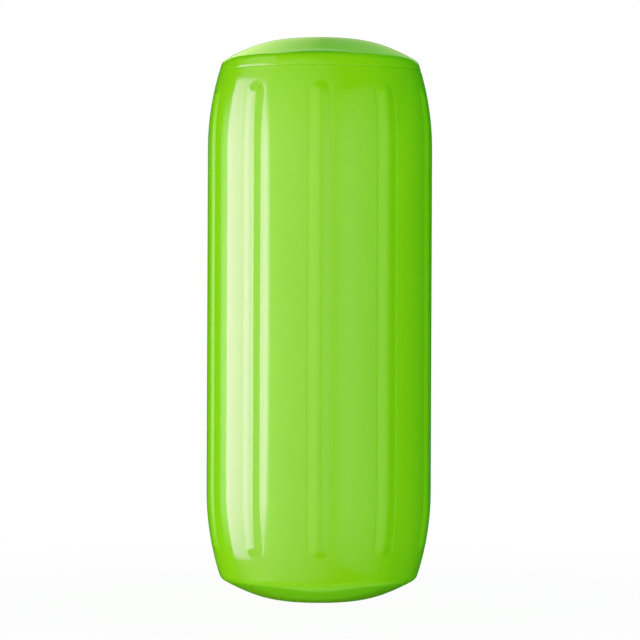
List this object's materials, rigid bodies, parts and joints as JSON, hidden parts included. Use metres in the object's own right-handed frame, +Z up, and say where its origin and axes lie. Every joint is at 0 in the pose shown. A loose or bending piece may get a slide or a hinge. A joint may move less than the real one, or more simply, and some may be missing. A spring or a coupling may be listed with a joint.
{
  "type": "boat fender",
  "caption": "Inflatable vinyl boat fender: ribbed barrel with domed ends and a rope hole moulded through the middle.",
  "frame": {"origin": "centre of the lower end, in the plane of the flat ring round the rope hole's mouth that the fender rests on", "axes": "+Z up along the rope hole, towards the end with the valve and the parting ledge; -Y towards the viewer, through the middle of one rib; +X to the viewer's right"},
  "size_m": [0.2032, 0.206, 0.508],
  "materials": {
    "vinyl": "glossy soft vinyl, lime green",
    "valve_rubber": "satin black rubber"
  },
  "bodies": {
    "root": {"fender_body": "vinyl", "inflation_valve": "valve_rubber"}
  },
  "joints": []
}
